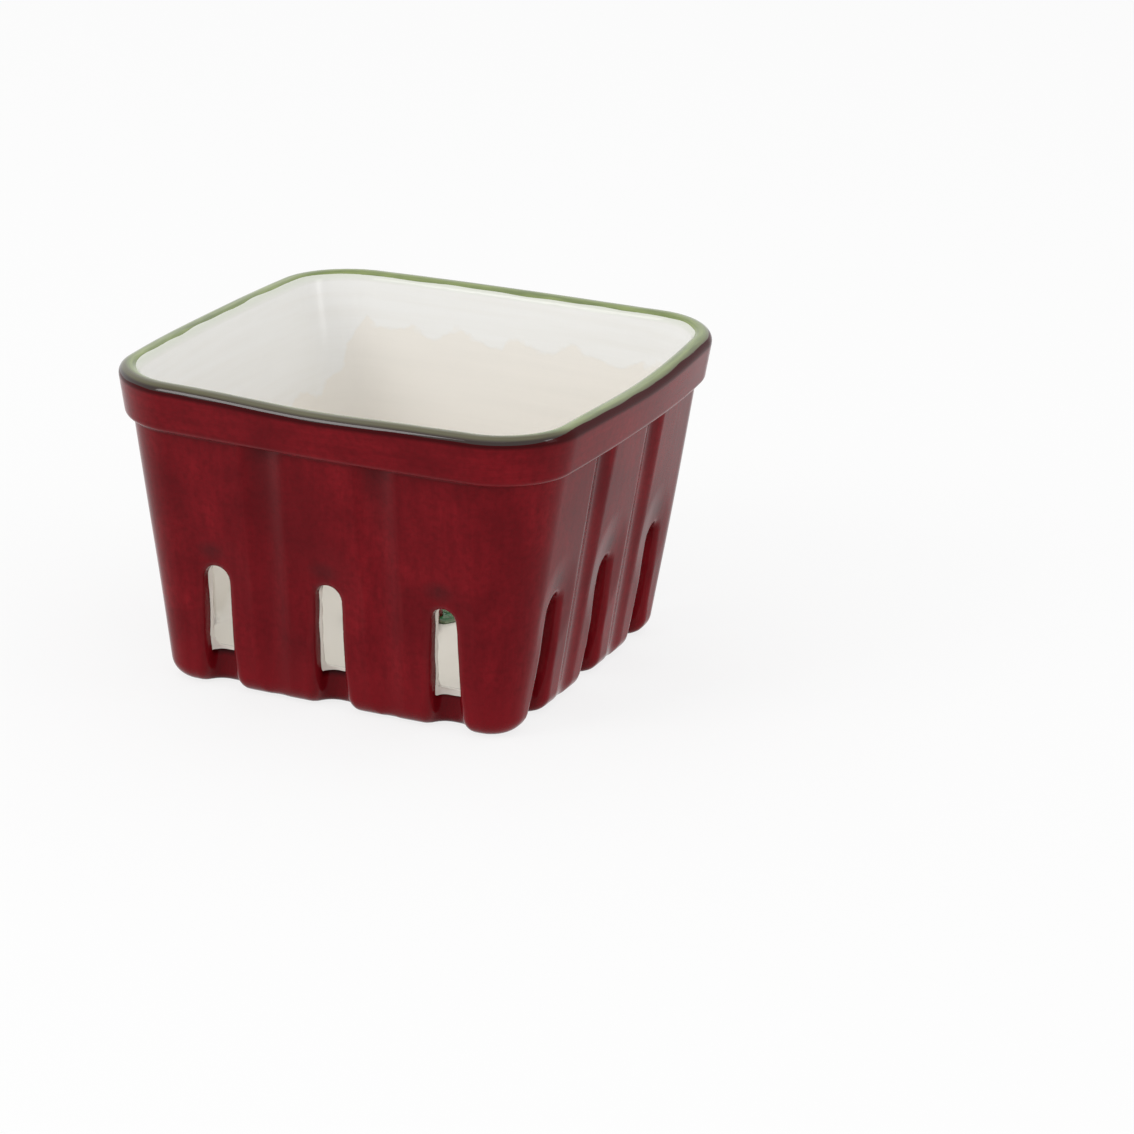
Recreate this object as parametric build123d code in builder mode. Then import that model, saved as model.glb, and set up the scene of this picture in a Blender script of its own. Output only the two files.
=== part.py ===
"""Square glazed berry bowl with drain slots: a clay body, three glaze coats and a berry relief.

Millimetres, +Z up. The origin is the middle of the foot, on the surface that the bowl stands on.
The front wall faces -Y. A form that takes a depth is drawn for the glazed surface at depth 0
and for the clay under it at the thickness of the glaze, so that each coat fits its clay.
"""
import os
from math import atan2, cos, hypot, sin, sqrt

from build123d import *

# Overall sizes, measured over the glaze
LIP_WIDTH = 133.0  # across the lip, flat side to flat side
HEIGHT = 86.0
FOOT_WIDTH = 101.4  # across the walls where they would meet the table
GLAZE = 0.4  # thickness of each glaze coat

# Plan of the bowl: four gently bulged sides with round corners
LIP_SIDE_RADIUS = 532.0
WALL_SIDE_RADIUS = 640.0  # just under the band
FOOT_SIDE_RADIUS = 2400.0  # almost straight
LIP_CORNER = 19.5
WALL_CORNER = 15.0
FOOT_CORNER = 9.0

# Band round the top
BAND_HEIGHT = 13.4
BAND_LEAN = 1.75  # how far each side leans out from the foot of the band to the widest line of the lip
BAND_STEP = 2.8  # how far the band stands out from the wall
BAND_ROUND = 1.6  # rounding of its lower edge
LIP_THICKNESS = 5.2
LIP_OUTER_ROUND = 2.4
LIP_INNER_ROUND = 2.0

# Wall, floor and foot
FLOOR_TOP = 9.8
WALL_AT_FLOOR = 6.0  # wall thickness where the inside meets the floor
WALL_AT_FLARE = 4.6  # wall thickness where the inside starts to flare out to the lip
FLARE_DROP = 14.0  # from the lip down to that place
FLOOR_FILLET = 3.0
FOOT_FILLET = 5.0
FOOT_RING = 10.4  # from the wall's foot line in to the recess under the floor
RECESS_DEPTH = 3.0
RECESS_CORNER = 8.0

# Flutes, two in each wall, midway between the slots
FLUTE_WIDTH = 10.0
FLUTE_DEPTH_TOP = 2.0
FLUTE_DEPTH_FOOT = 1.0

# Drain slots, three in each wall, open through the foot as round-backed niches
SLOT_WIDTH = 8.4  # at the floor and below it
SLOT_HEAD = 7.6  # across the foot of the arch
SLOT_PITCH = 32.8
SLOT_TOP = 35.6
NICHE_DEPTH = 5.6  # from the wall's foot line in to the back of the niche
SPLAY = 2.6  # bevel round the mouth of each slot

# Where the glazes stop
GREEN_DROP = 0.8  # the green coat reaches this far down from the top of the lip
DRY_FOOT = 0.5  # the red coat stops this far above the table

# Berry relief on the floor, placed in its own axes, which are turned on the floor
SPRIG_TURN = -90.0
BERRY_PLACE = (6.6, -3.6)
BERRY_TURN = 18.0
BEAD_RADIUS = 2.3
BEAD_GAP = 0.1
BEAD_ROWS = (3, 4, 5, 4, 3, 2)
BEAD_LIFT = 0.5  # straight part of the outer beads, under their round tops
BERRY_RISE = 1.6  # how much higher the middle of the berry stands than its edge
CORE_HEIGHT = 1.2
CORE_MARGIN = 0.05  # the scallops of the mound overlap by this much where three of them meet
LEAF_PLACE = (2.4, 8.0)
LEAF_TURN = 183.0
LEAF_DROP = 0.2  # from the top of the mound down to the top of the leaf
LEAF_BASE = (0.0, 1.4)  # along the leaf and half its width
LEAF_LOBES = ((5.4, 5.4), (9.6, 7.0), (10.4, 4.6), (16.2, 6.1), (16.0, 3.4))
LEAF_TIP = (22.4, 0.0)
MIDRIB_RADIUS = 0.6
MIDRIB_START = 6.8  # from the leaf's base
MIDRIB_LENGTH = 11.0

# Length by which a cutting shape runs past what it cuts
PAST = 4.0

# Values that follow from the sizes above
BAND_BOTTOM = HEIGHT - BAND_HEIGHT
LIP_HALF = LIP_WIDTH / 2 + BAND_LEAN * LIP_OUTER_ROUND / BAND_HEIGHT  # at the top, before the rounding
BAND_HALF = LIP_WIDTH / 2 - BAND_LEAN
WALL_HALF = BAND_HALF - BAND_STEP
FOOT_HALF = FOOT_WIDTH / 2
RECESS_WIDTH = FOOT_WIDTH - 2 * FOOT_RING
WALL_SLOPE = (WALL_HALF - FOOT_HALF) / BAND_BOTTOM
WALL_STRETCH = sqrt(1 + WALL_SLOPE**2)  # length along the wall for each unit of height
FLARE_Z = HEIGHT - FLARE_DROP
ROOM = LIP_WIDTH + 4 * PAST  # wider than the bowl
BEAD_PITCH = 2 * BEAD_RADIUS + BEAD_GAP
ROW_STEP = BEAD_PITCH * sqrt(3) / 2


def wall_half(z):
    """Half the width across the walls at a height z."""
    return FOOT_HALF + WALL_SLOPE * z


def bulged_square(half, side_radius, corner):
    """A square with bulged sides and tangent corner arcs."""
    side_middle = half - side_radius
    reach = side_radius - corner
    corner_middle = (side_middle + sqrt(2 * reach**2 - side_middle**2)) / 2
    corner_tip = corner_middle + corner / sqrt(2)
    turn = atan2(corner_middle, corner_middle - side_middle)
    along = side_middle + side_radius * cos(turn)
    across = side_radius * sin(turn)
    arc_points = (
        Vector(along, -across),
        Vector(half, 0),
        Vector(along, across),
        Vector(corner_tip, corner_tip),
        Vector(across, along),
    )
    with BuildSketch() as plan:
        with BuildLine():
            for quarter in range(4):
                start, side, end, tip, last = (p.rotate(Axis.Z, 90 * quarter) for p in arc_points)
                ThreePointArc(start, side, end)
                ThreePointArc(end, tip, last)
        make_face()
    return plan.sketch


def arch(half, head, bottom, sill, springing):
    """A round-topped opening, upright below its sill and narrower from there to its head."""
    side = ((half, bottom), (half, sill), (head, springing))
    with BuildSketch() as opening:
        with BuildLine():
            Polyline(*((-x, y) for x, y in reversed(side)), *side)
            ThreePointArc((head, springing), (0, springing + head), (-head, springing))
        make_face()
    return opening.sketch


def flute_tool(depth):
    """A round bar that cuts the front flute at x = 0."""
    radius = FLUTE_WIDTH**2 / (8 * FLUTE_DEPTH_TOP) + FLUTE_DEPTH_TOP / 2
    low = Vector(0, -FOOT_HALF - (radius - FLUTE_DEPTH_FOOT) * WALL_STRETCH, 0)
    high = Vector(0, -WALL_HALF - (radius - FLUTE_DEPTH_TOP) * WALL_STRETCH, BAND_BOTTOM)
    along = (high - low).normalized()
    with BuildPart() as tool:
        with BuildSketch(Plane(low - along * PAST, x_dir=(1, 0, 0), z_dir=along)):
            Circle(radius + depth)
        extrude(amount=(high - low).length + 3 * PAST)
    return tool.part


def band_form(depth):
    """The band as a full plate with rounded edges."""
    with BuildPart() as band:
        with BuildSketch(Plane.XY.offset(BAND_BOTTOM + depth)):
            add(bulged_square(BAND_HALF - depth, LIP_SIDE_RADIUS - depth, LIP_CORNER - BAND_LEAN - depth))
        with BuildSketch(Plane.XY.offset(HEIGHT - depth)):
            add(bulged_square(LIP_HALF - depth, LIP_SIDE_RADIUS - depth, LIP_CORNER - depth))
        loft()
        fillet(band.faces().sort_by(Axis.Z)[0].edges(), BAND_ROUND - depth)
        fillet(band.faces().sort_by(Axis.Z)[-1].edges(), LIP_OUTER_ROUND - depth)
    return band.part


def outside_form(depth):
    """The outside of the bowl as a full block, fluted and banded."""
    flute = flute_tool(depth)
    band = band_form(depth)
    tuck = BAND_BOTTOM + PAST  # the wall runs this high, inside the band
    with BuildPart() as block:
        with BuildSketch():
            add(bulged_square(FOOT_HALF - depth, FOOT_SIDE_RADIUS, FOOT_CORNER - depth))
        with BuildSketch(Plane.XY.offset(tuck)):
            add(bulged_square(wall_half(tuck) - depth, WALL_SIDE_RADIUS, WALL_CORNER - depth))
        loft()
        fillet(block.faces().sort_by(Axis.Z)[0].edges(), FOOT_FILLET)
        with PolarLocations(0, 4):
            with Locations((-SLOT_PITCH / 2, 0), (SLOT_PITCH / 2, 0)):
                add(flute, mode=Mode.SUBTRACT)
        add(band)
    return block.part


def inside_form(depth):
    """The space inside the bowl and over its lip, with the floor's fillet and the lip's inner rounding."""
    floor_half = wall_half(FLOOR_TOP) - WALL_AT_FLOOR
    flare_half = wall_half(FLARE_Z) - WALL_AT_FLARE
    lip_half = LIP_WIDTH / 2 - LIP_THICKNESS
    with BuildPart() as space:
        with BuildSketch(Plane.XY.offset(FLOOR_TOP - depth)):
            add(bulged_square(floor_half + depth, FOOT_SIDE_RADIUS, FOOT_CORNER - FLOOR_FILLET + depth))
        with BuildSketch(Plane.XY.offset(FLARE_Z)):
            add(bulged_square(flare_half + depth, WALL_SIDE_RADIUS, WALL_CORNER - WALL_AT_FLARE + depth))
        with BuildSketch(Plane.XY.offset(HEIGHT - depth)):
            add(bulged_square(lip_half + depth, LIP_SIDE_RADIUS, LIP_CORNER - LIP_THICKNESS + depth))
        loft()
        fillet(space.faces().sort_by(Axis.Z)[0].edges(), FLOOR_FILLET + depth)
        with BuildSketch(Plane.XY.offset(HEIGHT - depth)):
            Rectangle(ROOM, ROOM)
        extrude(amount=PAST)
        mouth = space.edges().group_by(Axis.Z)[-3].filter_by(GeomType.LINE, reverse=True)
        fillet(mouth, LIP_INNER_ROUND - depth)
    return space.part


def slot_tool(depth):
    """The space of the front slot at x = 0, with its niche and its bevelled mouth."""
    half = SLOT_WIDTH / 2 + depth
    head = SLOT_HEAD / 2 + depth
    springing = SLOT_TOP - SLOT_HEAD / 2
    back = FOOT_HALF - NICHE_DEPTH - depth
    front = LIP_WIDTH / 2 + PAST
    bevel = SPLAY + sqrt(2) * depth  # from the slot's edge to where the bevel would meet the glazed wall
    wall = Plane((0, -FOOT_HALF, 0), x_dir=(1, 0, 0), z_dir=(0, -1, -WALL_SLOPE))
    with BuildPart() as tool:
        with BuildSketch(Plane.XY.offset(-PAST)):
            with Locations((0, -(back + front) / 2)):
                SlotOverall(front - back, 2 * half, rotation=90)
        extrude(amount=SLOT_TOP + 3 * PAST)
        with BuildSketch(Plane.XZ):
            add(arch(half, head, -PAST, FLOOR_TOP, springing))
        extrude(amount=front + PAST, mode=Mode.INTERSECT)
        for inset in (SPLAY + depth, -PAST):
            wider = bevel - inset
            heights = (z * WALL_STRETCH - inset * WALL_SLOPE for z in (FLOOR_TOP, springing))
            with BuildSketch(wall.offset(-inset)):
                add(arch(SLOT_WIDTH / 2 + wider, SLOT_HEAD / 2 + wider, -2 * PAST, *heights))
        loft()
    return tool.part


def slot_tools(depth):
    """The spaces of all twelve slots."""
    slot = slot_tool(depth)
    with BuildPart() as tools:
        with PolarLocations(0, 4):
            with Locations((-SLOT_PITCH, 0), (0, 0), (SLOT_PITCH, 0)):
                add(slot)
    return tools.part


outside_glazed, outside_clay = outside_form(0), outside_form(GLAZE)
inside_glazed, inside_clay = inside_form(0), inside_form(GLAZE)
slots_glazed, slots_clay = slot_tools(0), slot_tools(GLAZE)
band_glazed, band_clay = band_form(0), band_form(GLAZE)

# Clay body: the whole bowl under its glazes, with a shallow recess under the floor
with BuildPart() as bowl_body:
    add(outside_clay)
    add(inside_clay, mode=Mode.SUBTRACT)
    add(slots_clay, mode=Mode.SUBTRACT)
    with BuildSketch():
        RectangleRounded(RECESS_WIDTH, RECESS_WIDTH, RECESS_CORNER)
    extrude(amount=RECESS_DEPTH, mode=Mode.SUBTRACT)
bowl_body.part.label = "bowl_body"

# Clay that the red coat covers: the outside with its slots, before it is hollowed
with BuildPart() as red_ground:
    add(outside_clay)
    add(slots_clay, mode=Mode.SUBTRACT)

# Red coat: the outside skin and the skin on the slot walls, from just above the table to the lip
with BuildPart() as outer_glaze:
    add(outside_glazed)
    add(slots_glazed, mode=Mode.SUBTRACT)
    add(red_ground.part, mode=Mode.SUBTRACT)
    add(inside_clay, mode=Mode.SUBTRACT)
    with BuildSketch(Plane.XY.offset(DRY_FOOT)):
        Rectangle(ROOM, ROOM)
    extrude(amount=HEIGHT - GREEN_DROP - DRY_FOOT, mode=Mode.INTERSECT)
outer_glaze.part.label = "outer_glaze"

# White coat: the skin on the inside walls and the floor, cut through at the slots
with BuildPart() as inner_glaze:
    add(inside_clay)
    add(inside_glazed, mode=Mode.SUBTRACT)
    add(slots_glazed, mode=Mode.SUBTRACT)
    with BuildSketch():
        Rectangle(ROOM, ROOM)
    extrude(amount=HEIGHT - GREEN_DROP, mode=Mode.INTERSECT)
inner_glaze.part.label = "inner_glaze"

# Clay that the green coat covers: the band with its inside cut away
with BuildPart() as green_ground:
    add(band_clay)
    add(inside_clay, mode=Mode.SUBTRACT)

# Green coat: the skin over the top of the lip
with BuildPart() as rim_glaze:
    add(band_glazed)
    add(inside_glazed, mode=Mode.SUBTRACT)
    add(green_ground.part, mode=Mode.SUBTRACT)
    with BuildSketch(Plane.XY.offset(HEIGHT - GREEN_DROP)):
        Rectangle(ROOM, ROOM)
    extrude(amount=PAST, mode=Mode.INTERSECT)
rim_glaze.part.label = "rim_glaze"

# Places of the relief on the floor
sprig = Location((0, 0, FLOOR_TOP), (0, 0, SPRIG_TURN))
berry = Plane(sprig * Location((*BERRY_PLACE, 0), (0, 0, BERRY_TURN)))
leaf_base = Plane(sprig * Location((*LEAF_PLACE, 0), (0, 0, LEAF_TURN)))
leaf_top = leaf_base.offset(CORE_HEIGHT - LEAF_DROP)
midrib_start = leaf_top.from_local_coords((MIDRIB_START, 0, 0))

bead_places = [
    ((i - (count - 1) / 2) * BEAD_PITCH, ((len(BEAD_ROWS) - 1) / 2 - row) * ROW_STEP)
    for row, count in enumerate(BEAD_ROWS)
    for i in range(count)
]
bead_reach = max(hypot(x, y) for x, y in bead_places)

# Berry mound: a low pad on the floor, scalloped round its beads
with BuildPart() as berry_core:
    with BuildSketch(berry):
        with Locations(*bead_places):
            Circle(BEAD_PITCH / sqrt(3) + CORE_MARGIN)
    extrude(amount=CORE_HEIGHT)
berry_core.part.label = "berry_core"

# Berry beads: rows of round-topped drupelets, higher towards the middle
with BuildPart() as berry_drupelets:
    on_base = (Align.CENTER, Align.CENTER, Align.MIN)
    for x, y in bead_places:
        shoulder = BEAD_LIFT + BERRY_RISE * (1 - (hypot(x, y) / bead_reach) ** 2)
        with Locations(berry.offset(CORE_HEIGHT)):
            with Locations((x, y, 0)):
                Cylinder(BEAD_RADIUS, shoulder, align=on_base)
            with Locations((x, y, shoulder)):
                Sphere(BEAD_RADIUS, arc_size1=0, align=on_base)
berry_drupelets.part.label = "berry_drupelets"

# Leaf: a lobed blade that meets the edge of the mound
with BuildPart() as leaf:
    with BuildSketch(leaf_base):
        with BuildLine():
            edge = Polyline(LEAF_BASE, *LEAF_LOBES, LEAF_TIP)
            mirror(edge, about=Plane.XZ)
            Line(LEAF_BASE, (LEAF_BASE[0], -LEAF_BASE[1]))
        make_face()
    extrude(amount=CORE_HEIGHT - LEAF_DROP)
    add(berry_core.part, mode=Mode.SUBTRACT)
leaf.part.label = "leaf"

# Midrib: a half-round ridge along the top of the leaf
with BuildPart() as leaf_midrib:
    with BuildSketch(Plane(midrib_start, x_dir=leaf_top.y_dir, z_dir=leaf_top.x_dir)):
        Circle(MIDRIB_RADIUS)
    extrude(amount=MIDRIB_LENGTH)
    split(bisect_by=leaf_top, keep=Keep.TOP)
    add(berry_core.part, mode=Mode.SUBTRACT)
    add(berry_drupelets.part, mode=Mode.SUBTRACT)
leaf_midrib.part.label = "leaf_midrib"

os.makedirs("parts", exist_ok=True)
for piece in (
    bowl_body,
    outer_glaze,
    inner_glaze,
    rim_glaze,
    berry_core,
    berry_drupelets,
    leaf,
    leaf_midrib,
):
    export_step(piece.part, f"parts/{piece.part.label}.step")
    print(piece.part.label, len(piece.part.solids()), "solids", round(piece.part.volume, 1), "mm3")
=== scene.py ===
# %% [markdown]
# # A square berry bowl in three glazes
# The bowl is one piece of cast earthenware with a red glaze outside, a white one inside,
# a green line round the lip and a small berry sprig on the floor. The CAD gives exact, crisp
# solids. Glaze melts and rounds every edge, so this lesson rebuilds the same sizes as soft
# surfaces and keeps each coat as a piece of its own.

# %% Load the frame
from functools import partial
from itertools import product
from math import cos, radians, sin

import bpy
import numpy as np
from mathutils import Matrix, Vector


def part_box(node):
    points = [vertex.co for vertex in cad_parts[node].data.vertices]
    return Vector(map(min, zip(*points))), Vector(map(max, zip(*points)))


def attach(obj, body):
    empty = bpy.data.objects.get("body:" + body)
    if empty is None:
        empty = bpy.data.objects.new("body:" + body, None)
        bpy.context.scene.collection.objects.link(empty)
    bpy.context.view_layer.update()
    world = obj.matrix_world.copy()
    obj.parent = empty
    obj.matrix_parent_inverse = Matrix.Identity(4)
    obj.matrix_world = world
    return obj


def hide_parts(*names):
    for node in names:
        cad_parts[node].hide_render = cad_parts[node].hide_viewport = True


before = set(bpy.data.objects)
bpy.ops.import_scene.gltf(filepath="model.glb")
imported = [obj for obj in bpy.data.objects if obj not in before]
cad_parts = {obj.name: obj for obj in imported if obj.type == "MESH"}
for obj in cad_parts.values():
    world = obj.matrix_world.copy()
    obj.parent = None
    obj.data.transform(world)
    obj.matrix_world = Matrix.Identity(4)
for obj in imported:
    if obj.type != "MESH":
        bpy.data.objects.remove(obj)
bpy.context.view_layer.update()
MM = 0.001  # shapes are worked out in millimetres, and Blender's objects are in metres


def corners_mm(node):
    """Lowest and highest corner of a CAD node, in millimetres."""
    return [np.array(corner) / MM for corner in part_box(node)]


# %% [markdown]
# ## Sizes
# The overall sizes come from the loaded frame, so the soft surfaces stay on the CAD pieces.
# The rest are the sizes that the CAD part was drawn with, in millimetres, and the small flaws of
# a real bowl, which only the looks have: a lip that sags, slots that lean, one lower arch.

# %% Sizes from the frame
lip_low, lip_high = corners_mm("rim_glaze")
HEIGHT = lip_high[2]
GREEN_LOW = lip_low[2]  # the green coat ends here
LIP_HALF = corners_mm("outer_glaze")[1][0]  # half the width at the widest line of the lip
GLAZE = HEIGHT - corners_mm("bowl_body")[1][2]  # thickness of a coat
FLOOR_TOP = corners_mm("berry_core")[0][2]  # the sprig lies on the floor
print("height", round(HEIGHT, 2), "lip", round(2 * LIP_HALF, 2), "floor", round(FLOOR_TOP, 2))

# %% Sizes of walls, band, flutes and slots
FOOT_HALF = 50.7
WALL_CURVES = (1 / 2400, 1 / 640)  # one over the radius of a wall's bulge, at the foot and under the band
WALL_CORNERS = (8.5, 15)  # rounding of the corners, at the foot and under the band
FRONT_CORNER = 4  # the front right corner is this much rounder under the band
WALL_OVERLAP = 4  # the walls run on this far inside the band
BAND_HEIGHT = 13.4
BAND_LEAN = 1.75
BAND_STEP = 2.8
BAND_ROUND = 1.6
BAND_CURVE, BAND_CORNER = 1 / 532, 17.6  # bulge of its sides and rounding of its corners
BAND_COVE = 0.9  # the hollow where the band meets the wall
LIP_THICKNESS = 5.2
LIP_OUTER_ROUND = 2.9
LIP_INNER_ROUND = 2.0
RIM_DIPS = (0.2, 0.9)  # the lip sags by these in the middle of a side: back and left, front and right
DIP_SPREAD = 24.0  # how far along the side the sag reaches
FOOT_ROUND = 5.0
WALL_AT_FLOOR = 6.0
WALL_AT_FLARE = 4.6
FLARE_DROP = 14.0
INSIDE_CORNERS = (7.5, 14.2)  # rounding of the corners inside, at the floor and at the lip
FLOOR_ROUND = 3.0  # where the floor meets a slot
FLOOR_COVE = 6.0  # and between the slots
RECESS_HALF = 40.0
RECESS_CORNER = 8.0
RECESS_DEPTH = 3.0
RECESS_ROUND = 1.5  # rounding at the bottom of the recess
RECESS_LIP = 0.8  # and at its edge
FLUTE_PLACE = 16.4
FLUTE_WIDTH = 10.0
FLUTE_DEPTHS = (0.4, 2.0)  # at the foot and under the band
FLUTE_LIP = 1.4
SLOT_HALF = 4.2  # at the floor and below it
HEAD_HALF = 3.85  # at the foot of the arch
SLOT_PITCH = 32.8
SLOT_TOP = 35.9
SLOT_LEAN = 0.28  # how far the head of a slot leans to one side
SMALL_ARCH = (0.4, 0.8)  # one arch in each wall is narrower and lower by these
SMALL_END = (14, 18)  # it lies at the end of the wall, past these places along it
NICHE_DEPTH = 5.6
NICHE_ROUND = 3.5  # rounding of a niche's back corners
SLOT_LIPS = (3.2, 1.8)  # rounding of a slot's outer edge, at the foot and above the floor
SLOT_INNER_LIP = 1.0
DISH_WIDTH = 12.8  # a shallow dish over each arch
DISH_RISE = 5.8  # how far the dish reaches over the arch
DISH_TALL = 1.4  # times as tall as it is wide
DISH_DEPTH = 0.7
DISH_LIP = 1.8

BAND_LOW = HEIGHT - BAND_HEIGHT
BAND_HALF = LIP_HALF - BAND_LEAN
WALL_HALF = BAND_HALF - BAND_STEP
WALL_SLOPE = (WALL_HALF - FOOT_HALF) / BAND_LOW
WALL_STRETCH = np.hypot(1, WALL_SLOPE)

# %% [markdown]
# ## The bowl as a field
# A boolean cut leaves knife edges, and bevels fail where a slot, a flute and the foot meet.
# Here the bowl is a field instead: a function that is negative in the clay, zero on the surface
# and positive in the air. Two shapes join with a smaller-of, a cut is a larger-of, and a rounded
# larger-of gives each edge the radius that molten glaze leaves there.


# %% Rounded joins of two fields
def round_max(a, b, radius):
    """Keeps what lies in both shapes, with the edge between them rounded."""
    reach = np.hypot(np.maximum(a + radius, 0), np.maximum(b + radius, 0))
    return np.minimum(-radius, np.maximum(a, b)) + reach


def round_min(a, b, radius):
    """Joins two shapes, with a cove of that radius between them."""
    return -round_max(-a, -b, radius)


def ease(value, start, stop):
    """Runs smoothly from 0 at start to 1 at stop."""
    t = np.clip((value - start) / (stop - start), 0, 1)
    return t * t * (3 - 2 * t)


def bulged_square(x, y, half, side_curve, corner):
    """A square with bulged sides and round corners. side_curve is one over the sides' radius."""
    a = np.abs(x) + y * y * side_curve / 2 - half + corner
    b = np.abs(y) + x * x * side_curve / 2 - half + corner
    return np.hypot(np.maximum(a, 0), np.maximum(b, 0)) + np.minimum(np.maximum(a, b), 0) - corner


# %% Parts of the bowl's field
def mix(low, high, share):
    """Goes straight from low to high as the share goes from 0 to 1."""
    return low + (high - low) * share


def along_and_out(x, y):
    """Place along the nearest wall, and distance out towards it."""
    across = np.abs(x) > np.abs(y)
    return np.where(across, y, x), np.where(across, np.abs(x), np.abs(y))


def wall_half(z):
    """Half the width of the bowl at this height, in the middle of a wall."""
    return FOOT_HALF + WALL_SLOPE * z


def plain_wall(x, y, z):
    """The leaning walls before flutes and slots, with no top and no foot."""
    share = z / BAND_LOW
    top_corner = WALL_CORNERS[1] + FRONT_CORNER * ((x > 0) & (y < 0))
    corner = mix(WALL_CORNERS[0], top_corner, share)
    return bulged_square(x, y, wall_half(z), mix(*WALL_CURVES, share), corner) / WALL_STRETCH


def plain_band(x, y, z):
    """The sides of the band, with no top and no lower edge."""
    lean = BAND_LEAN * (z - BAND_LOW) / (BAND_HEIGHT - LIP_OUTER_ROUND)
    return bulged_square(x, y, BAND_HALF + lean, BAND_CURVE, BAND_CORNER + lean)


def flutes(x, y, z):
    """Round upright hollows, two in each wall."""
    along, out = along_and_out(x, y)
    radius = FLUTE_WIDTH**2 / (8 * FLUTE_DEPTHS[1]) + FLUTE_DEPTHS[1] / 2
    axis = wall_half(z) + (radius - mix(*FLUTE_DEPTHS, z / BAND_LOW)) * WALL_STRETCH
    return np.hypot(np.abs(along) - FLUTE_PLACE, (out - axis) / WALL_STRETCH) - radius


def from_slot(along):
    """Distance along a wall from the middle of the nearest slot."""
    aside = np.abs(along)
    return np.abs(np.where(aside < SLOT_PITCH / 2, aside, aside - SLOT_PITCH))


def slots(x, y, z):
    """Arched drain slots, three in each wall, that run down through the foot as niches."""
    along, out = along_and_out(x, y)
    aside = from_slot(along - SLOT_LEAN * ease(z, FLOOR_TOP, SLOT_TOP))
    small = ease(along, *SMALL_END)
    head = HEAD_HALF - SMALL_ARCH[0] * small
    springing = SLOT_TOP - SMALL_ARCH[1] * small - head
    half = mix(SLOT_HALF, head, np.clip((z - FLOOR_TOP) / (springing - FLOOR_TOP), 0, 1))
    back = FOOT_HALF - NICHE_DEPTH + NICHE_ROUND
    beyond = np.maximum(aside - SLOT_HALF + NICHE_ROUND, 0)
    niche = np.hypot(beyond, np.minimum(out - back, 0)) - NICHE_ROUND
    return np.maximum(niche, np.hypot(aside, np.maximum(z - springing, 0)) - half)


def dishes(x, y, z):
    """Shallow round scoops over the arches, left by the plugs that form the slots."""
    along, out = along_and_out(x, y)
    radius = DISH_WIDTH**2 / (8 * DISH_DEPTH) + DISH_DEPTH / 2
    middle = SLOT_TOP + DISH_RISE - DISH_TALL * DISH_WIDTH / 2
    off_wall = (out - wall_half(z)) / WALL_STRETCH - radius + DISH_DEPTH
    return np.sqrt(from_slot(along) ** 2 + ((z - middle) / DISH_TALL) ** 2 + off_wall**2) - radius


def inside(x, y, z):
    """The space in the bowl, from the floor up through the mouth."""
    flare_z = HEIGHT - FLARE_DROP
    low_half = wall_half(FLOOR_TOP) - WALL_AT_FLOOR
    flare_half = wall_half(flare_z) - WALL_AT_FLARE
    mouth_half = LIP_HALF - LIP_THICKNESS
    low_slope = (flare_half - low_half) / (flare_z - FLOOR_TOP)
    flare = ((mouth_half - flare_half) / FLARE_DROP - low_slope) / (HEIGHT - FLOOR_TOP)
    half = low_half + low_slope * (z - FLOOR_TOP) + flare * (z - FLOOR_TOP) * (z - flare_z)
    share = (z - FLOOR_TOP) / (HEIGHT - FLOOR_TOP)
    curve = mix(WALL_CURVES[0], BAND_CURVE, share)
    plan = bulged_square(x, y, half, curve, mix(*INSIDE_CORNERS, share))
    cove = mix(FLOOR_ROUND, FLOOR_COVE, ease(slots(x, y, z), 2, 8))
    return round_max(plan / WALL_STRETCH, FLOOR_TOP - z, cove)


def recess(x, y, z):
    """The shallow hollow under the floor, inside the foot ring."""
    plan = bulged_square(x, y, RECESS_HALF, 0, RECESS_CORNER)
    return round_max(plan, z - RECESS_DEPTH, RECESS_ROUND)


# %% [markdown]
# ## The whole bowl
# A hand-finished bowl is never true, so the space it is drawn in is bent by a fraction of
# a millimetre with a few slow waves, and lifted where the lip rose in the kiln. The bend fades
# out at the foot, which stands flat. The field also measures a few things that the glazes follow:
# how sharply the surface bends, and how far a point is from the outside, the lip and an arch.


# %% The bowl's field
WOBBLE = 0.22  # mm
FLAT_FOOT = 30  # the waves fade in up to this height
WARPS = ((58, 58, 1.0), (-30, -62, 0.5))  # where the lip rose in the kiln, and by how much
WARP_AREA = 600  # how wide such a rise is, in mm squared
WARP_HEIGHTS = (30, 80)  # it grows between these heights
ARCH_PATCH_RISE = 4.4  # from the top of an arch to the middle of the dark patch over it, of painted shade and pooled glaze
ARCH_PATCH_WIDE = 1.4  # times as wide as it is tall


def handmade(x, y, z):
    """Bends the space in slow waves, so that no side is quite true."""
    lift = ease(z, 0, FLAT_FOOT)
    dx = WOBBLE * lift * np.sin(0.047 * y + 0.031 * z + 0.6)
    dy = WOBBLE * lift * np.sin(0.052 * x - 0.037 * z + 2.1)
    dz = WOBBLE * lift * np.sin(0.061 * x + 0.7) * np.cos(0.043 * y - 0.4)
    warp = sum(rise * np.exp(-((x - wx) ** 2 + (y - wy) ** 2) / WARP_AREA) for wx, wy, rise in WARPS)
    return x + dx, y + dy, z + dz - warp * ease(z, *WARP_HEIGHTS)


def lip_top(x, y):
    """Height of the lip, which sags a little in the middle of each side."""
    along, _ = along_and_out(x, y)
    return HEIGHT - mix(*RIM_DIPS, ease(x - y, -20, 20)) * np.exp(-((along / DIP_SPREAD) ** 2))


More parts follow.
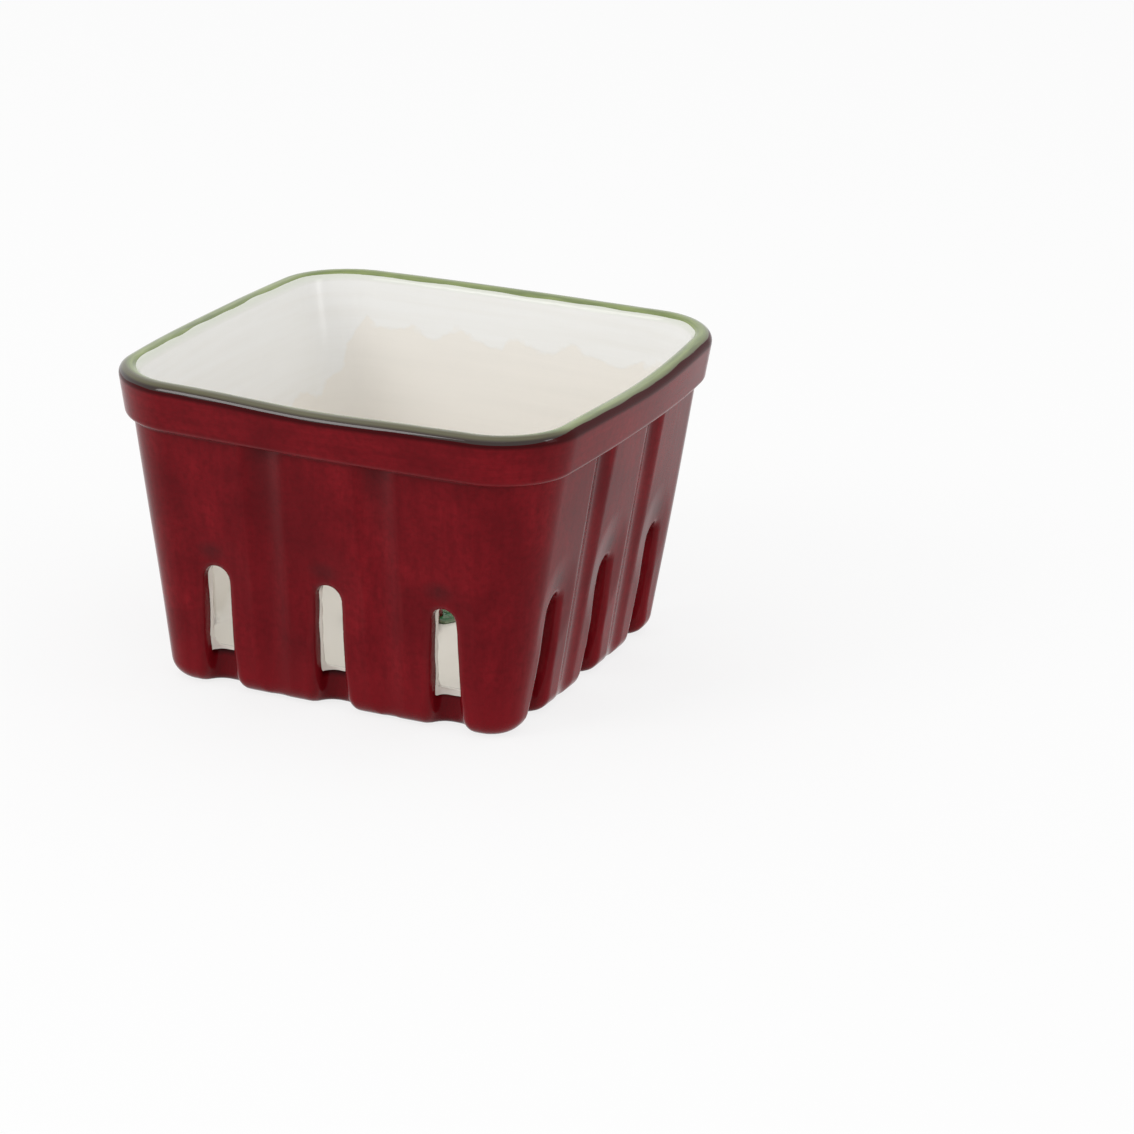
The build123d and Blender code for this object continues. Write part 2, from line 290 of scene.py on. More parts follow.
def outside(x, y, z):
    """The outside with its band, flutes, foot, recess and slots."""
    band = round_max(plain_band(x, y, z), BAND_LOW - z, BAND_ROUND)
    band = round_max(band, z - lip_top(x, y), LIP_OUTER_ROUND)
    wall = round_max(plain_wall(x, y, z), -flutes(x, y, z), FLUTE_LIP)
    wall = round_max(wall, -dishes(x, y, z), DISH_LIP)
    wall = np.maximum(round_max(wall, -z, FOOT_ROUND), z - BAND_LOW - WALL_OVERLAP)
    shell = round_min(wall, band, BAND_COVE)
    shell = round_max(shell, -recess(x, y, z), RECESS_LIP)
    return round_max(shell, -slots(x, y, z), mix(*SLOT_LIPS, ease(z, 1, 13)))


def bowl(x, y, z):
    """The glazed bowl."""
    foot_z = z
    x, y, z = handmade(x, y, z)
    hollow = round_max(-inside(x, y, z), -slots(x, y, z), SLOT_INNER_LIP)
    lip = LIP_INNER_ROUND * ease(z, HEIGHT - FLARE_DROP, HEIGHT - FLARE_DROP / 2)
    return np.maximum(round_max(outside(x, y, z), hollow, lip), -foot_z)


def bend(x, y, z, reach=0.7):
    """How sharply the surface bends, in 1/mm: above zero on edges, below zero in hollows."""
    around = [(reach, 0, 0), (0, reach, 0), (0, 0, reach)]
    total = sum(bowl(x + i * s, y + j * s, z + k * s) for i, j, k in around for s in (-1, 1))
    return (total - 6 * bowl(x, y, z)) / reach**2


def band_share(z):
    """Zero on the walls and one on the band."""
    return ease(z, BAND_LOW - 1, BAND_LOW + 1)


def depth(x, y, z):
    """How far a point lies under the plain outside of the bowl."""
    x, y, z = handmade(x, y, z)
    return -mix(plain_wall(x, y, z), plain_band(x, y, z), band_share(z))


def drop(x, y, z):
    """How far a point lies under the top of the lip."""
    x, y, z = handmade(x, y, z)
    return lip_top(x, y) - z


def over_arch(x, y, z):
    """Distance from the middle of the dark patch of painted shade and pooled glaze over the nearest arch,
    which is wider than tall.
    """
    along, _ = along_and_out(x, y)
    return np.hypot(from_slot(along) / ARCH_PATCH_WIDE, z - SLOT_TOP - ARCH_PATCH_RISE)


# %% [markdown]
# ## From field to mesh
# A surface net turns a field into clean quads: each grid cell that the surface crosses gets one
# vertex, and each grid line that it crosses gets one quad. The vertices are then evened out and
# settled on the surface by Newton's method. The grid is finer where an edge runs level.


# %% Surface net
LEAST_SLOPE = 0.05  # squared, so that steps stay short where a field is nearly flat


def slope_of(field, points, reach=0.04):
    """How the field changes along x, y and z at each point."""
    steps = np.eye(3) * reach
    rise = [field(*(points + s).T) - field(*(points - s).T) for s in steps]
    return np.stack(rise, axis=1) / (2 * reach)


def settle(field, points, rounds=3):
    """Moves points along the slope onto the surface."""
    for _ in range(rounds):
        slope = slope_of(field, points)
        size = np.maximum((slope**2).sum(axis=1), LEAST_SLOPE)
        points = points - (field(*points.T) / size)[:, None] * slope
    return points


def even_out(field, points, quads, rounds=2):
    """Moves each vertex to the middle of its neighbours, and back onto the surface."""
    edges = np.concatenate([quads[:, [i, (i + 1) % 4]] for i in range(4)])
    count = np.bincount(edges[:, 0], minlength=len(points))[:, None]
    for _ in range(rounds):
        total = np.stack(
            [np.bincount(edges[:, 0], points[edges[:, 1], d], len(points)) for d in range(3)], axis=1
        )
        points = settle(field, total / count, 1)
    return points


def surface_net(field, axes):
    """Vertices and quads of the field's surface, on a grid with these places along x, y and z."""
    values = field(*np.meshgrid(*axes, indexing="ij"))
    low = values < 0
    cells = np.array(low.shape) - 1
    corner = {c: tuple(slice(o, o + n) for o, n in zip(c, cells)) for c in product((0, 1), repeat=3)}
    filled = sum(low[s].astype(np.int8) for s in corner.values())
    active = (filled > 0) & (filled < 8)
    place = np.argwhere(active)
    number = np.full(cells, -1)
    number[active] = np.arange(len(place))
    total, count = np.zeros((len(place), 3)), np.zeros(len(place))
    for start, axis in product(corner, range(3)):
        if start[axis]:
            continue
        end = tuple(1 if d == axis else o for d, o in enumerate(start))
        a, b = values[corner[start]][active], values[corner[end]][active]
        cut = (a < 0) != (b < 0)
        total[cut] += place[cut] + start
        total[cut, axis] += a[cut] / (a[cut] - b[cut])
        count[cut] += 1
    spots = total / count[:, None]
    points = np.stack([np.interp(spots[:, d], np.arange(len(axes[d])), axes[d]) for d in range(3)], axis=1)
    quads = []
    for axis in range(3):
        u, v = np.roll(np.eye(3, dtype=int), -axis, axis=0)[1:]
        first = low.take(range(cells[axis]), axis)
        second = low.take(range(1, cells[axis] + 1), axis)
        at = np.argwhere(first != second)
        ring = np.stack([number[tuple((at - o).T)] for o in (0 * u, u, u + v, v)], axis=1)
        flip = first[tuple(at.T)]
        ring[flip] = ring[flip, ::-1]
        quads.append(ring[(ring >= 0).all(axis=1)])
    quads = np.concatenate(quads)[:, ::-1]
    points = settle(field, points)
    return even_out(field, points, quads), quads


def ladder(*stops):
    """Places along an axis from (end, spacing) pairs, starting at the first pair's end."""
    places = [np.array([stops[0][0]])]
    for (start, _), (end, spacing) in zip(stops, stops[1:]):
        count = max(1, round((end - start) / spacing))
        places.append(np.linspace(start, end, count + 1)[1:])
    return np.concatenate(places)


across = ladder((-LIP_HALF - 2, 0), (LIP_HALF + 2, 1.0))
upward = ladder(
    (-1.6, 0),
    (6, 0.8),
    (SLOT_TOP + 2, 1.25),
    (BAND_LOW - 3, 1.6),
    (BAND_LOW + 3, 0.6),
    (HEIGHT - 5, 1.2),
    (HEIGHT + 1.2, 0.6),
)
bowl_points, bowl_quads = surface_net(bowl, (across, across, upward))
bowl_points[:, 2] = np.maximum(bowl_points[:, 2], 0)  # it stands on the floor, not in it
print("bowl surface:", len(bowl_points), "vertices,", len(bowl_quads), "quads")

# %% [markdown]
# ## Coats as pieces
# On the real bowl each glaze is a skin a fraction of a millimetre thick. Each coat is cut out of
# the bowl's surface along the line where its brush stopped, and gets its own thickness inwards,
# so it is a closed piece. Normals come from the field, which keeps the shading even across cuts.


# %% Cut a surface along a line
SNAP = 0.1  # share of an edge within which a cut moves to the edge's end


def clip(points, quads, tris, keep):
    """Cuts a surface where keep is zero, and leaves the side where it is positive."""
    stays = keep > 0
    whole, some = stays[quads].all(axis=1), stays[quads].any(axis=1)
    split = quads[some & ~whole]
    tris = np.concatenate([tris, split[:, [0, 1, 2]], split[:, [0, 2, 3]]])
    count = stays[tris].sum(axis=1)

    def odd_first(wanted, odd):
        """Triangles with that many kept corners, turned so that the odd corner comes first."""
        chosen = tris[count == wanted]
        first = np.argmax(stays[chosen] == odd, axis=1)
        return np.take_along_axis(chosen, (first[:, None] + np.arange(3)) % 3, axis=1).T

    def key(i, j):
        """One number for an edge, whichever way round it is given."""
        return np.minimum(i, j) * len(points) + np.maximum(i, j)

    (a1, b1, c1), (a2, b2, c2) = odd_first(1, True), odd_first(2, False)
    keys = np.unique(np.concatenate([key(a1, b1), key(a1, c1), key(a2, b2), key(a2, c2)]))
    i, j = keys // len(points), keys % len(points)
    share = keep[i] / (keep[i] - keep[j])
    fresh = points[i] + share[:, None] * (points[j] - points[i])
    number = len(points) + np.arange(len(keys))
    number = np.where(share < SNAP, i, np.where(share > 1 - SNAP, j, number))

    def cut(i, j):
        """The vertex where an edge is cut."""
        return number[np.searchsorted(keys, key(i, j))]

    tris = np.concatenate(
        [
            tris[count == 3],
            np.stack([a1, cut(a1, b1), cut(a1, c1)], axis=1),
            np.stack([cut(a2, b2), b2, c2], axis=1),
            np.stack([cut(a2, b2), c2, cut(a2, c2)], axis=1),
        ]
    )
    a, b, c = tris.T
    tris = tris[(a != b) & (b != c) & (c != a)]
    return np.concatenate([points, fresh]), quads[whole], tris


# %% Make a piece from vertices, faces and normals
def add_object(name, data):
    """A new object in the scene, with this mesh, lamp or camera."""
    thing = bpy.data.objects.new(name, data)
    bpy.context.scene.collection.objects.link(thing)
    return thing


def add_piece(name, points, faces, normals, node, attributes):
    """A mesh object in metres that stands for a CAD node. Normals are one for each face corner."""
    mesh = bpy.data.meshes.new(name)
    mesh.from_pydata(points * MM, [], faces, shade_flat=False)
    for label, values in attributes.items():
        mesh.attributes.new(label, "FLOAT", "POINT").data.foreach_set("value", values)
    mesh.normals_split_custom_set(normals)
    piece = add_object(name, mesh)
    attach(piece, "root")
    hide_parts(node)
    print(name, len(points), "vertices,", len(faces), "faces")
    return piece


def unit(vectors):
    """The same directions, each with length one."""
    return vectors / np.linalg.norm(vectors, axis=1)[:, None]


def add_coat(name, keeps, node):
    """The part of the bowl's surface where every function in keeps is positive, made a closed skin."""
    points, quads, tris = bowl_points, bowl_quads, np.zeros((0, 3), int)
    for keep in keeps:
        points, quads, tris = clip(points, quads, tris, keep(*points.T))
    used, places = np.unique(np.concatenate([quads.ravel(), tris.ravel()]), return_inverse=True)
    quads, tris = places[: quads.size].reshape(-1, 4), places[quads.size :].reshape(-1, 3)
    points = settle(bowl, points[used], 1)
    out = unit(slope_of(bowl, points))
    sides = [quads[:, [i, (i + 1) % 4]] for i in range(4)] + [tris[:, [i, (i + 1) % 3]] for i in range(3)]
    sides = np.concatenate(sides)
    size = len(points)
    twins = np.isin(sides[:, 0] * size + sides[:, 1], sides[:, 1] * size + sides[:, 0])
    a, b = sides[~twins].T
    rim = np.stack([b, a, a + size, b + size], axis=1)
    skin = np.concatenate([points, points - GLAZE * out])
    rim_out = unit(np.cross(skin[rim[:, 1]] - skin[rim[:, 0]], skin[rim[:, 2]] - skin[rim[:, 1]]) + 1e-12)
    faces = [quads, tris, quads[:, ::-1] + size, tris[:, ::-1] + size, rim]
    faces = [face for group in faces for face in group.tolist()]
    normals = [out[quads], out[tris], -out[quads[:, ::-1]], -out[tris[:, ::-1]]]
    normals.append(np.repeat(rim_out[:, None], 4, axis=1))
    normals = np.concatenate([n.reshape(-1, 3) for n in normals])
    marks = {field.__name__: np.tile(field(*points.T), 2) for field in (depth, bend, drop, over_arch)}
    return add_piece(name, skin, faces, normals, node, marks)


# %% [markdown]
# ## Where each coat ends
# The red was brushed on from outside: it covers the walls, most of the depth of each slot, deeper
# in the two sides than in the front, and all of the niche under it. The green line runs over the
# lip, and further down at the front. White covers the inside up to these two. The foot stays
# bare, so that the bowl does not stick to the kiln shelf.

# %% The four parts of the bowl
WALL_REACH = 3.6  # the red covers this depth under the plain outside, which takes in the flutes
BAND_REACH = 1.0  # and this much more behind the band, where the flutes run out under it
SLOT_REACH = 3.9  # and this depth in the slots of the front and the back
SIDE_REACH = 4.7  # and this depth in the slots of the sides
SILL_LINE = FLOOR_TOP - 0.45  # the red covers everything in a niche below this height
LOW_SILL = 0.8  # and this much lower at one end of each wall
OUTER_DROPS = (0.6, 1.65)  # the green runs this far down the outside of the lip, most at the front
SHORT_INSIDE = 0.35  # how much higher it ends on the inside of the left wall
FOOT_LINE = 0.12  # the red goes round under the foot to this height, so no clay shows from above
DRY_RING = 2  # and stays this far from the recess
WHITE_LOWEST = FLOOR_TOP - 2  # the white ends here at the latest
GLAZE_EDGE = (-0.2, 0.4)  # the clay sinks under the glaze over this distance from the dry line


def lip_line(x, y, z):
    """Height over the lower edge of the green line, which follows the brush up and down."""
    sway = 0.08 * np.sin(0.16 * x + 1.0) + 0.07 * np.sin(0.21 * y) + 0.06 * np.sin(0.4 * (x - y))
    outer = mix(*OUTER_DROPS, ease(-y, 44, 60))
    inner = HEIGHT - GREEN_LOW - SHORT_INSIDE * ease(-x - np.abs(y), 0, 15)
    reach = mix(outer, inner, ease(depth(x, y, z), 1.5, 3.2))
    return reach + sway - drop(x, y, z)


def ragged(x, y, z):
    """The uneven edge of a loaded brush, in mm."""
    slow = np.sin(0.43 * z + 0.7 * x + 0.9 * y) + np.sin(0.83 * x - 1.27 * y + 0.26 * z)
    return 0.22 * slow + 0.13 * np.sin(1.13 * z - 1.9 * x + 1.6 * y) * np.sin(0.3 * z + 0.5 * y)


def red_line(x, y, z):
    """Positive where the red covers."""
    brush = ragged(x, y, z)
    in_slot = mix(SLOT_REACH, SIDE_REACH, ease(np.abs(x) - np.abs(y), -5, 5)) + brush
    on_wall = WALL_REACH + BAND_REACH * band_share(z)
    reach = mix(on_wall, in_slot, ease(slots(x, y, z), 1.6, 0.8))
    along, _ = along_and_out(x, y)
    sill = SILL_LINE - LOW_SILL * ease(along, *SMALL_END)
    return np.maximum(reach - depth(x, y, z), sill + 0.25 * brush - z)


def dry_line(x, y, z):
    """Positive on the glazed outside, negative on the bare foot and in the recess."""
    under = recess(x, y, z - RECESS_DEPTH) - DRY_RING
    sway = 0.08 * np.sin(0.23 * x) * np.cos(0.19 * y)
    return np.minimum(z - FOOT_LINE + sway, under)


def below_lip(x, y, z):
    """Positive below the green line."""
    return -lip_line(x, y, z)


red_coat = add_coat("red_coat", [below_lip, red_line, dry_line], "outer_glaze")
white_keeps = [below_lip, lambda *p: -red_line(*p), lambda x, y, z: z - WHITE_LOWEST]
white_coat = add_coat("white_coat", white_keeps, "inner_glaze")
green_line = add_coat("green_line", [lip_line], "rim_glaze")


def clay(x, y, z):
    """The clay: the bowl itself where it is bare, and thinner by the glaze where it is glazed."""
    return bowl(x, y, z) + GLAZE * ease(dry_line(x, y, z), *GLAZE_EDGE)


# Steps twice as high save vertices here, but wider ones would tear the thin wall in the flutes.
clay_points, clay_quads = surface_net(clay, (across, across, upward[::2]))
clay_points[:, 2] = np.maximum(clay_points[:, 2], 0)
clay_out = unit(slope_of(clay, clay_points))[clay_quads].reshape(-1, 3)
clay_body = add_piece("clay_body", clay_points, clay_quads.tolist(), clay_out, "bowl_body", {})

# %% [markdown]
# ## The berry sprig
# The sprig is pressed clay: round drupelets crowded on a low mound, with a lobed leaf at its
# side. Spheres alone would look like balls laid on a plate. As fields they melt into each other
# a little, they differ in size, and the leaf tucks in against them.

# %% Places of the sprig
SPRIG_TURN = radians(-90)  # of berry and leaf together, about the middle of the floor
BERRY_PLACE, BERRY_TURN = (6.6, -3.6), radians(18)
LEAF_PLACE, LEAF_TURN = (2.4, 8.0), radians(183)
BEAD_RADIUS = 2.42
BEAD_PITCH = 4.6
BEAD_ROWS = (3, 4, 5, 4, 3, 2)
BEAD_REST = 1.6  # height of the outer beads' middles over the floor
BERRY_RISE = 1.7  # and how much higher the middle of the berry stands
MOUND_RADIUS = 2.7  # of the scallops under the beads
ROW_PITCH = 0.87  # rows of beads nest, so they lie this share of the pitch apart
BEAD_STRAY = 0.35  # how far a bead strays from its place
BEAD_SIZES = (0.93, 1.12)  # the smallest and the largest, as shares of BEAD_RADIUS
shapes = np.random.default_rng(7)


def turned(x, y, angle):
    """A place turned about the origin."""
    return x * cos(angle) - y * sin(angle), x * sin(angle) + y * cos(angle)


def into_sprig(x, y, place, turn):
    """Coordinates on the bowl's floor, seen from a piece of the sprig."""
    x, y = turned(x, y, -SPRIG_TURN)
    return turned(x - place[0], y - place[1], -turn)


def onto_floor(x, y, place, turn):
    """Coordinates on a piece of the sprig, seen from the bowl."""
    x, y = turned(x, y, turn)
    return turned(x + place[0], y + place[1], SPRIG_TURN)


beads = []
for row, count in enumerate(BEAD_ROWS):
    for i in range(count):
        along = (i - (count - 1) / 2) * BEAD_PITCH
        down = ((len(BEAD_ROWS) - 1) / 2 - row) * BEAD_PITCH * ROW_PITCH
        beads.append((along, down))
beads = np.array(beads) + shapes.uniform(-BEAD_STRAY, BEAD_STRAY, (len(beads), 2))
off_middle = np.hypot(*beads.T)
bead_height = FLOOR_TOP + BEAD_REST + BERRY_RISE * (1 - (off_middle / off_middle.max()) ** 2)
bead_radius = BEAD_RADIUS * shapes.uniform(*BEAD_SIZES, len(beads))
bead_middle = np.stack([*onto_floor(*beads.T, BERRY_PLACE, BERRY_TURN), bead_height], axis=1)
print(len(beads), "drupelets, highest at", round((bead_height + bead_radius).max() - FLOOR_TOP, 2), "mm")


# %% Fields of the berry
FAR_OFF = 9.0  # where a field starts before shapes are joined to it
MELT = 0.3  # radius of the cove between two beads
SEAT = 0.15  # rounding where a piece meets the floor or another piece
MOUND_FLAT = 2.2  # a scallop is this much flatter than a ball
MOUND_STRETCH = 1.4  # evens out the steeper field of a flat scallop


def drupelets(x, y, z):
    """Crowded beads that melt into each other a little, flat on the floor."""
    field = np.full(np.shape(x), FAR_OFF)
    for (bx, by, bz), radius in zip(bead_middle, bead_radius):
        bead = np.sqrt((x - bx) ** 2 + (y - by) ** 2 + (z - bz) ** 2) - radius
        field = round_min(field, bead, MELT)
    return round_max(field, FLOOR_TOP - z, SEAT)


def mound(x, y, z):
    """The low cushion that the beads are pressed into, scalloped round them."""
    field = np.full(np.shape(x), FAR_OFF)
    for bx, by, _ in bead_middle:
        up = (z - FLOOR_TOP) * MOUND_FLAT
        cushion = np.sqrt((x - bx) ** 2 + (y - by) ** 2 + up**2) - MOUND_RADIUS
        field = round_min(field, cushion / MOUND_STRETCH, MELT)
    return round_max(field, FLOOR_TOP - z, SEAT)


# %% Fields of the leaf
LEAF_TOP = 1.2  # height over the floor
LEAF_EDGE = 1.4  # how far in from its edge the leaf rounds over
LEAF_CROWN, CROWN_WIDTH = 0.25, 3  # how much it rises along its middle
LEAF_STRETCH = 0.8  # evens out the field of its sloping top
LEAF_ROUND, LEAF_SEAT = 0.25, 0.1  # roundings at its top and at the floor
TUCK = 0.05  # gap between leaf and berry
LOW_LOBE = ((0, 1.6), (5.2, 5.5), (9.4, 7.0), (10.2, 4.7))
HIGH_LOBE = ((13.4, 5.3), (16.4, 6.0), (16.2, 3.5), (19.6, 2.2))
LEAF_TIP = (22.4, 0.2)
OTHER_AHEAD, OTHER_WIDTH = 0.4, 0.96  # the other half lies a little ahead and is a little narrower
VEINS = ((5.1, 0, 8.8, 5.8), (5.1, 0, 8.4, -5.8), (11.3, 0, 15.4, 4.8), (11.3, 0, 15.0, -4.9))
VEIN_DEPTH, VEIN_WIDTH = 0.28, 0.45
one_half = LOW_LOBE + HIGH_LOBE
other_half = [(u + OTHER_AHEAD, -OTHER_WIDTH * v) for u, v in reversed(one_half)]
leaf_outline = np.array([*one_half, LEAF_TIP, *other_half])


def to_segment(u, v, start_u, start_v, end_u, end_v):
    """Distance from a straight line between two points."""
    du, dv = end_u - start_u, end_v - start_v
    share = np.clip(((u - start_u) * du + (v - start_v) * dv) / (du * du + dv * dv), 0, 1)
    return np.hypot(u - start_u - share * du, v - start_v - share * dv)


def leaf_uv(x, y):
    """Place on the leaf: along it and across it."""
    return into_sprig(x, y, LEAF_PLACE, LEAF_TURN)


def leaf_edge(u, v):
    """Distance from the leaf's outline, negative on the leaf."""
    distance, on_leaf = np.full(np.shape(u), np.inf), np.zeros(np.shape(u), bool)
    for (au, av), (bu, bv) in zip(leaf_outline, np.roll(leaf_outline, -1, axis=0)):
        distance = np.minimum(distance, to_segment(u, v, au, av, bu, bv))
        if av != bv:
            on_leaf ^= ((av > v) != (bv > v)) & (u < au + (v - av) * (bu - au) / (bv - av))
    return np.where(on_leaf, -distance, distance)


def vein_distance(u, v):
    """Distance from the nearest side vein."""
    return np.min([to_segment(u, v, *vein) for vein in VEINS], axis=0)


def leaf(x, y, z):
    """A lobed blade, rounded at its edge, with sunk side veins, tucked in against the beads."""
    u, v = leaf_uv(x, y)
    edge = leaf_edge(u, v)
    rounding = 1 - (1 - np.clip(-edge / LEAF_EDGE, 0, 1)) ** 2
    crown = LEAF_CROWN * np.exp(-((v / CROWN_WIDTH) ** 2))
    groove = VEIN_DEPTH * np.exp(-((vein_distance(u, v) / VEIN_WIDTH) ** 2))
    top = FLOOR_TOP + (LEAF_TOP - LEAF_CROWN) * np.sqrt(rounding) + crown - groove
    blade = round_max(edge, (z - top) * LEAF_STRETCH, LEAF_ROUND)
    blade = round_max(blade, FLOOR_TOP - z, LEAF_SEAT)
    berry = np.minimum(drupelets(x, y, z), mound(x, y, z))
    return round_max(blade, TUCK - berry, SEAT)


# Places along and across the leaf, and the radius there
MIDRIB = ((6.4, 0.3, 0.62), (10.3, -0.15, 0.55), (14.8, -0.1, 0.42), (19, 0.25, 0.26))
RIB_SUNK = 0.1  # its axis lies this far under the top of the leaf


def midrib(x, y, z):
    """A tapering ridge down the middle of the leaf."""
    u, v = leaf_uv(x, y)
    field = np.full(np.shape(x), FAR_OFF)
    for (au, av, ar), (bu, bv, br) in zip(MIDRIB, MIDRIB[1:]):
        share = np.clip((u - au) / (bu - au), 0, 1)
        sideways = to_segment(u, v, au, av, bu, bv)
        ridge = np.hypot(sideways, z - FLOOR_TOP - LEAF_TOP + RIB_SUNK) - mix(ar, br, share)
        field = np.minimum(field, ridge)
    return round_max(field, TUCK - drupelets(x, y, z), LEAF_SEAT)


# %% Pieces of the sprig
ROOM = 2.5  # mm of grid round each CAD node


def add_relief(name, field, node, step, attributes):
    """Meshes a piece of the sprig over its CAD node's place, on a grid with this step in mm."""
    low, high = corners_mm(node)
    axes = [ladder((a - ROOM, 0), (b + ROOM, step)) for a, b in zip(low, high)]
    points, quads = surface_net(field, axes)
    out = unit(slope_of(field, points, 0.02))
    labelled = {label: values(*points.T) for label, values in attributes.items()}
    return add_piece(name, points, quads.tolist(), out[quads].reshape(-1, 3), node, labelled)


HIGHLIGHT_LEAN, HIGHLIGHT_UP = 0.5, 0.85  # a bead's painted highlight leans from its top to its upper side
HIGHLIGHT_STRAY = 0.12  # and strays by this much
highlight_place = np.array([*turned(0, HIGHLIGHT_LEAN, SPRIG_TURN), HIGHLIGHT_UP])
highlight_place = unit(highlight_place + shapes.uniform(-HIGHLIGHT_STRAY, HIGHLIGHT_STRAY, (len(beads), 3)))


def highlight_distance(x, y, z):
    """Distance on a bead from the middle of its painted highlight."""
    off = np.stack([x, y, z], axis=-1)[:, None] - bead_middle
    far = np.linalg.norm(off, axis=2)
    nearest = np.argmin(far - bead_radius, axis=1)
    rows = np.arange(len(x))
    towards = off[rows, nearest] / far[rows, nearest][:, None]
    lean = np.arccos(np.clip((towards * highlight_place[nearest]).sum(axis=1), -1, 1))
    return lean * bead_radius[nearest]


def crease(x, y, z):
    """How much nearer a point is to one bead than to the next, which is zero in the creases."""
    off = np.stack([x, y, z], axis=-1)[:, None] - bead_middle
    far = np.sort(np.linalg.norm(off, axis=2) - bead_radius, axis=1)
    return far[:, 1] - far[:, 0]


berry_mound = add_relief("berry_mound", mound, "berry_core", 0.6, {})
bead_marks = {"highlight": highlight_distance, "crease": crease}
berry_beads = add_relief("berry_beads", drupelets, "berry_drupelets", 0.33, bead_marks)
leaf_marks = {
    "edge": lambda x, y, z: -leaf_edge(*leaf_uv(x, y)),
    "vein": lambda x, y, z: vein_distance(*leaf_uv(x, y)),
}
leaf_blade = add_relief("leaf_blade", leaf, "leaf", 0.3, leaf_marks)
leaf_rib = add_relief("leaf_rib", midrib, "leaf_midrib", 0.2, {})

# %% [markdown]
# ## Tools for materials
# A shader is a small graph. One function adds a node, sets it up and links it, and each material
# gets that function as its own "add", so that it reads as a list of steps. Colours are written as
# the hex values that a screen shows, and Blender works in linear light, so one function converts
# them. Noise sizes are written in millimetres.
#
# A list fills a node's sockets from the first one on, and a dictionary fills them by name or
# number. A map range takes a value, the two ends of what comes in and the two ends of what goes
# out, which are 0 and 1 if they are left out. A mix takes its share at socket 0 and two colours at
# 6 and 7, and gives its result at output 2. Each glaze is a chain of mixes: one colour, and then
# each stroke or pool over it.


# %% Nodes, colours and noise sizes
def linear(hex_colour):
    """An sRGB hex colour as linear red, green, blue and alpha."""
    shares = [int(hex_colour[i : i + 2], 16) / 255 for i in (1, 3, 5)]
    return [s / 12.92 if s <= 0.04045 else ((s + 0.055) / 1.055) ** 2.4 for s in shares] + [1]


def grain(size):
    """Scale of a texture whose spots are about this many millimetres apart."""
    return 1 / (size * MM)


def feed(node, inputs):
    """Fills a node's sockets with values or with other nodes' outputs."""
    for socket, value in inputs.items() if isinstance(inputs, dict) else enumerate(inputs):
        if isinstance(value, bpy.types.NodeSocket):
            node.id_data.links.new(value, node.inputs[socket])
        else:
            node.inputs[socket].default_value = value


def add_node(tree, kind, inputs, output=0, **settings):
    """Adds a shader node to a tree and returns one of its outputs."""
    node = tree.nodes.new("ShaderNode" + kind)
    for name, value in settings.items():
        setattr(node, name, value)
    feed(node, inputs)
    return node.outputs[output]


def start_material(name, piece, *measures):
    """A new material. Returns its add function, the place on the object and the mesh's measures."""
    material = bpy.data.materials.new(name)
    material.use_nodes = True
    piece.data.materials.append(material)
    print("material", name, "on", piece.name)
    add = partial(add_node, material.node_tree)
    stored = [add("Attribute", [], "Fac", attribute_name=measure) for measure in measures]
    return add, add("TexCoord", [], "Object"), *stored


def finish_material(add, base, layers, inputs):
    """Lays colours over the base, each where its share is one, and fills the shader's other inputs."""
    body = linear(base)
    for share, colour in layers:
        body = add("Mix", {0: share, 6: body, 7: linear(colour)}, 2, data_type="RGBA")
    feed(body.id_data.nodes["Principled BSDF"], {"Base Color": body, **inputs})


# %% [markdown]
# ## Red glaze
# The outside is a transparent red glaze, brushed over pale earthenware in upright strokes on the
# walls and in level ones on the band. It is lighter where a stroke is thin and near the foot. It
# is darker in fine specks and in hollows, where it pools. Painted shade darkens it as well: in the
# hollows and deep in the slots, in the tops of the flutes under the band, in patches over the
# arches and on the sills of the niches, all of which take pooled glaze too, and alone in a line
# under the lip. A flat red would look like plastic, so the colour follows the strokes and the
# bends of the surface, and the strokes leave faint ridges too.

# %% Red glaze, brushed earthenware
RED_DEEP, RED_BRUSHED, RED_THIN, RED_EDGE = "#5D0710", "#6C0A14", "#82141D", "#7E2428"
# The darker reds carry pooled glaze and painted shade; the one under the lip is painted shade alone.
RED_POOL_AND_SHADE, RED_GREY_POOL_AND_SHADE, RED_UNDER_LIP_SHADE, RED_SILL_POOL_AND_SHADE = "#4E040A", "#421417", "#380003", "#240103"
RED_MIRROR = 0.08  # specular level: the brushed red mirrors less than the other glazes

red_marks = ("depth", "bend", "drop", "over_arch")
add, place, depth_mm, bend_mm, drop_mm, arch_mm = start_material("red_brushed_glaze", red_coat, *red_marks)
height = add("SeparateXYZ", [place], "Z")
on_band = add("MapRange", [height, (BAND_LOW - 1) * MM, (BAND_LOW + 1) * MM])
upright = add("Mapping", {0: place, "Scale": (1, 1, 0.09)})
level = add("Mapping", {0: place, "Scale": (0.07, 0.07, 1)})
brush = {"Detail": 5, "Roughness": 0.65}
strokes_up = add("TexNoise", {"Vector": upright, "Scale": grain(3), **brush})
strokes_level = add("TexNoise", {"Vector": level, "Scale": grain(2.2), **brush})
strokes = add("Mix", {0: on_band, 2: strokes_up, 3: strokes_level})
patches = add("TexNoise", {"Vector": place, "Scale": grain(24), "Detail": 3, "Distortion": 0.6})
mottle = add("TexNoise", {"Vector": place, "Scale": grain(1.6), "Detail": 3})
thin_patches = add("MapRange", [patches, 0.3, 0.72])
thin_strokes = add("MapRange", [strokes, 0.34, 0.74])
thin = add("Math", [thin_patches, thin_strokes], operation="MULTIPLY")
specks = add("MapRange", [mottle, 0.42, 0.7, 0, 0.4])
